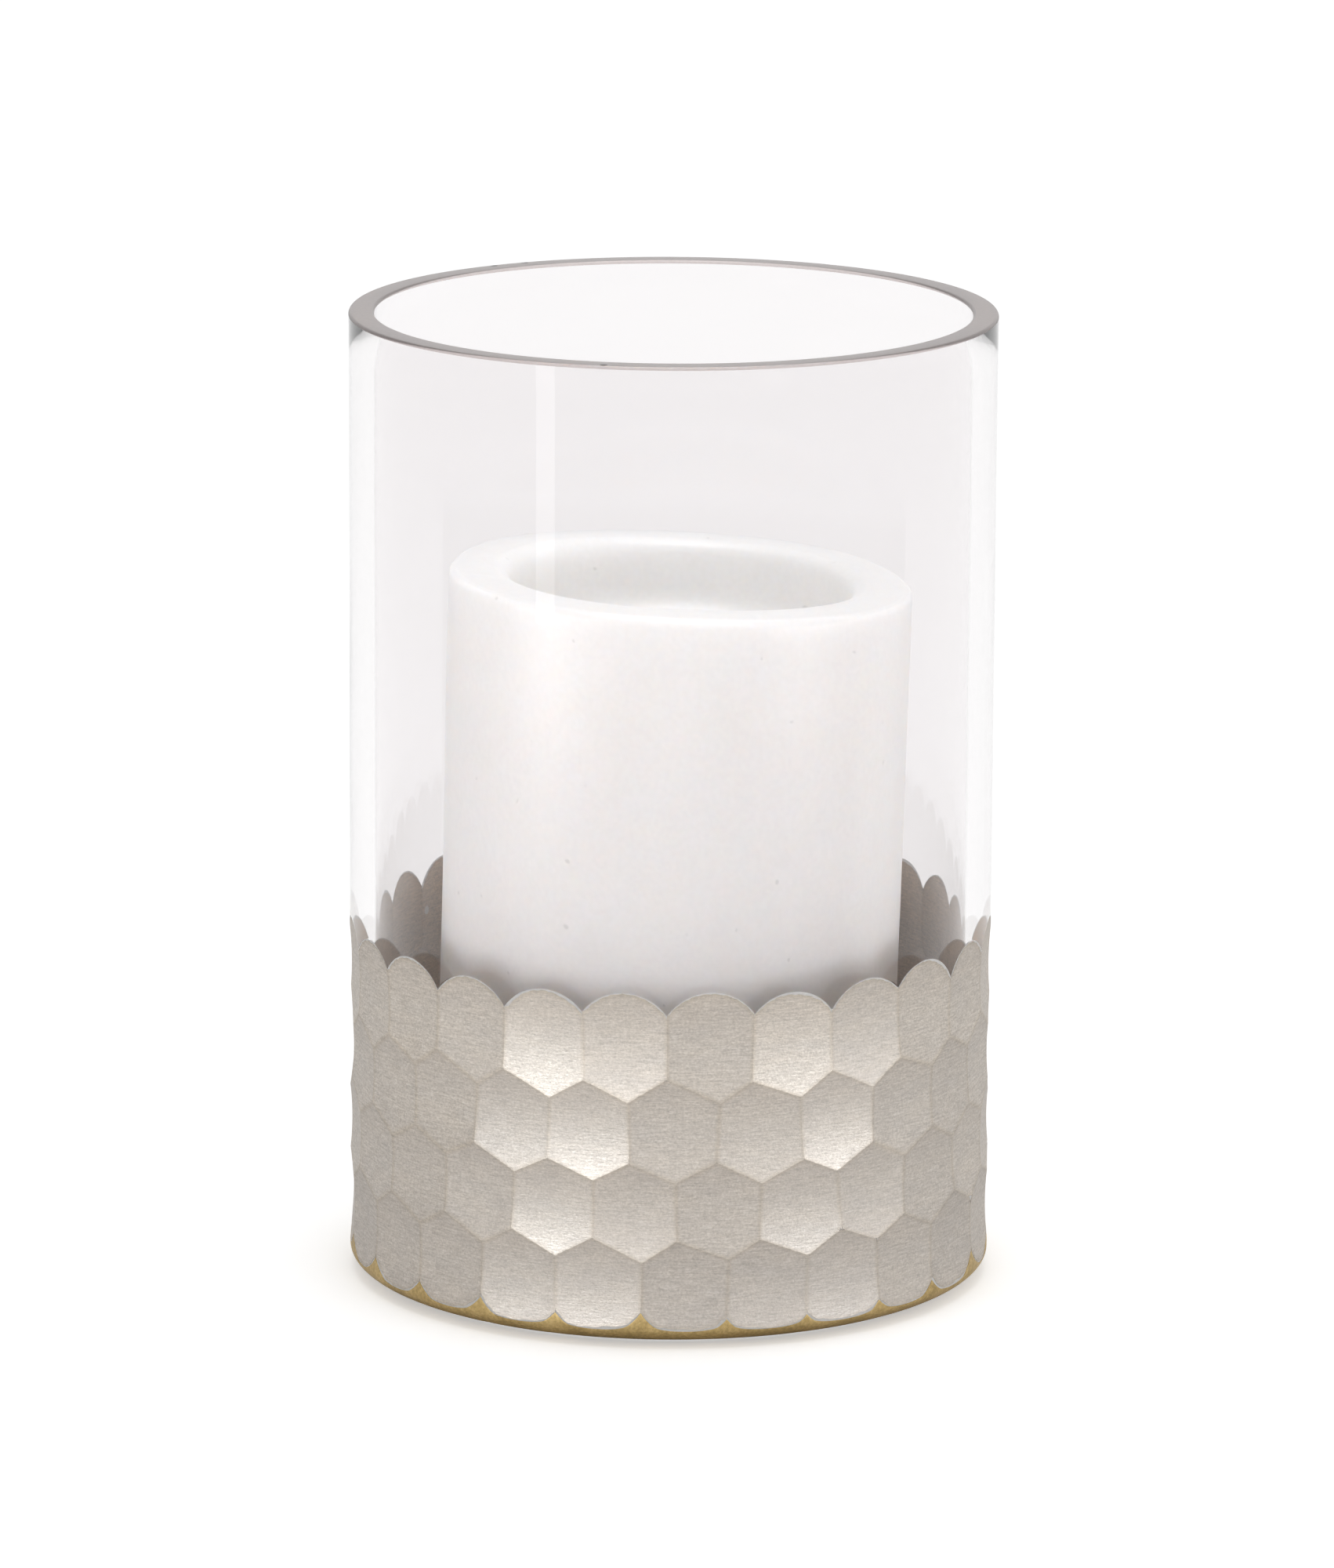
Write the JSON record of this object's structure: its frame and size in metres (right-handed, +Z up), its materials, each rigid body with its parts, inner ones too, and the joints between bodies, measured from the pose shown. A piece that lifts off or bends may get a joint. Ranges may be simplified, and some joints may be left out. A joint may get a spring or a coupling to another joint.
{
  "type": "hurricane candle holder",
  "caption": "Straight clear glass hurricane with a silvered honeycomb of ground facets round its lower part, a gold heel, and a dished white pillar candle standing loose inside.",
  "frame": {"origin": "centre of the glass foot, on the table", "axes": "+Z up along the glass; -Y is the front; the candle leans slightly towards +X"},
  "size_m": [0.1016, 0.1016, 0.154],
  "materials": {
    "clear_glass": "polished",
    "silver_film": "satin",
    "gold_lacquer": "satin",
    "white_wax": "satin",
    "cotton_wick": "matte",
    "tinned_steel": "satin"
  },
  "bodies": {
    "hurricane": {"glass_cylinder": "clear_glass", "silver_film_row_1": "silver_film", "silver_film_row_2": "silver_film", "silver_film_row_3": "silver_film", "silver_film_row_4": "silver_film", "gold_heel_lacquer": "gold_lacquer", "gold_underside_lacquer": "gold_lacquer"},
    "candle": {"candle_wax": "white_wax", "candle_wick": "cotton_wick", "wick_sustainer": "tinned_steel"}
  },
  "joints": [
    {"name": "candle_lift", "type": "slide", "parent": "hurricane", "child": "candle", "axis": [0, 0, 1], "range_m": [0, 0.15]}
  ]
}
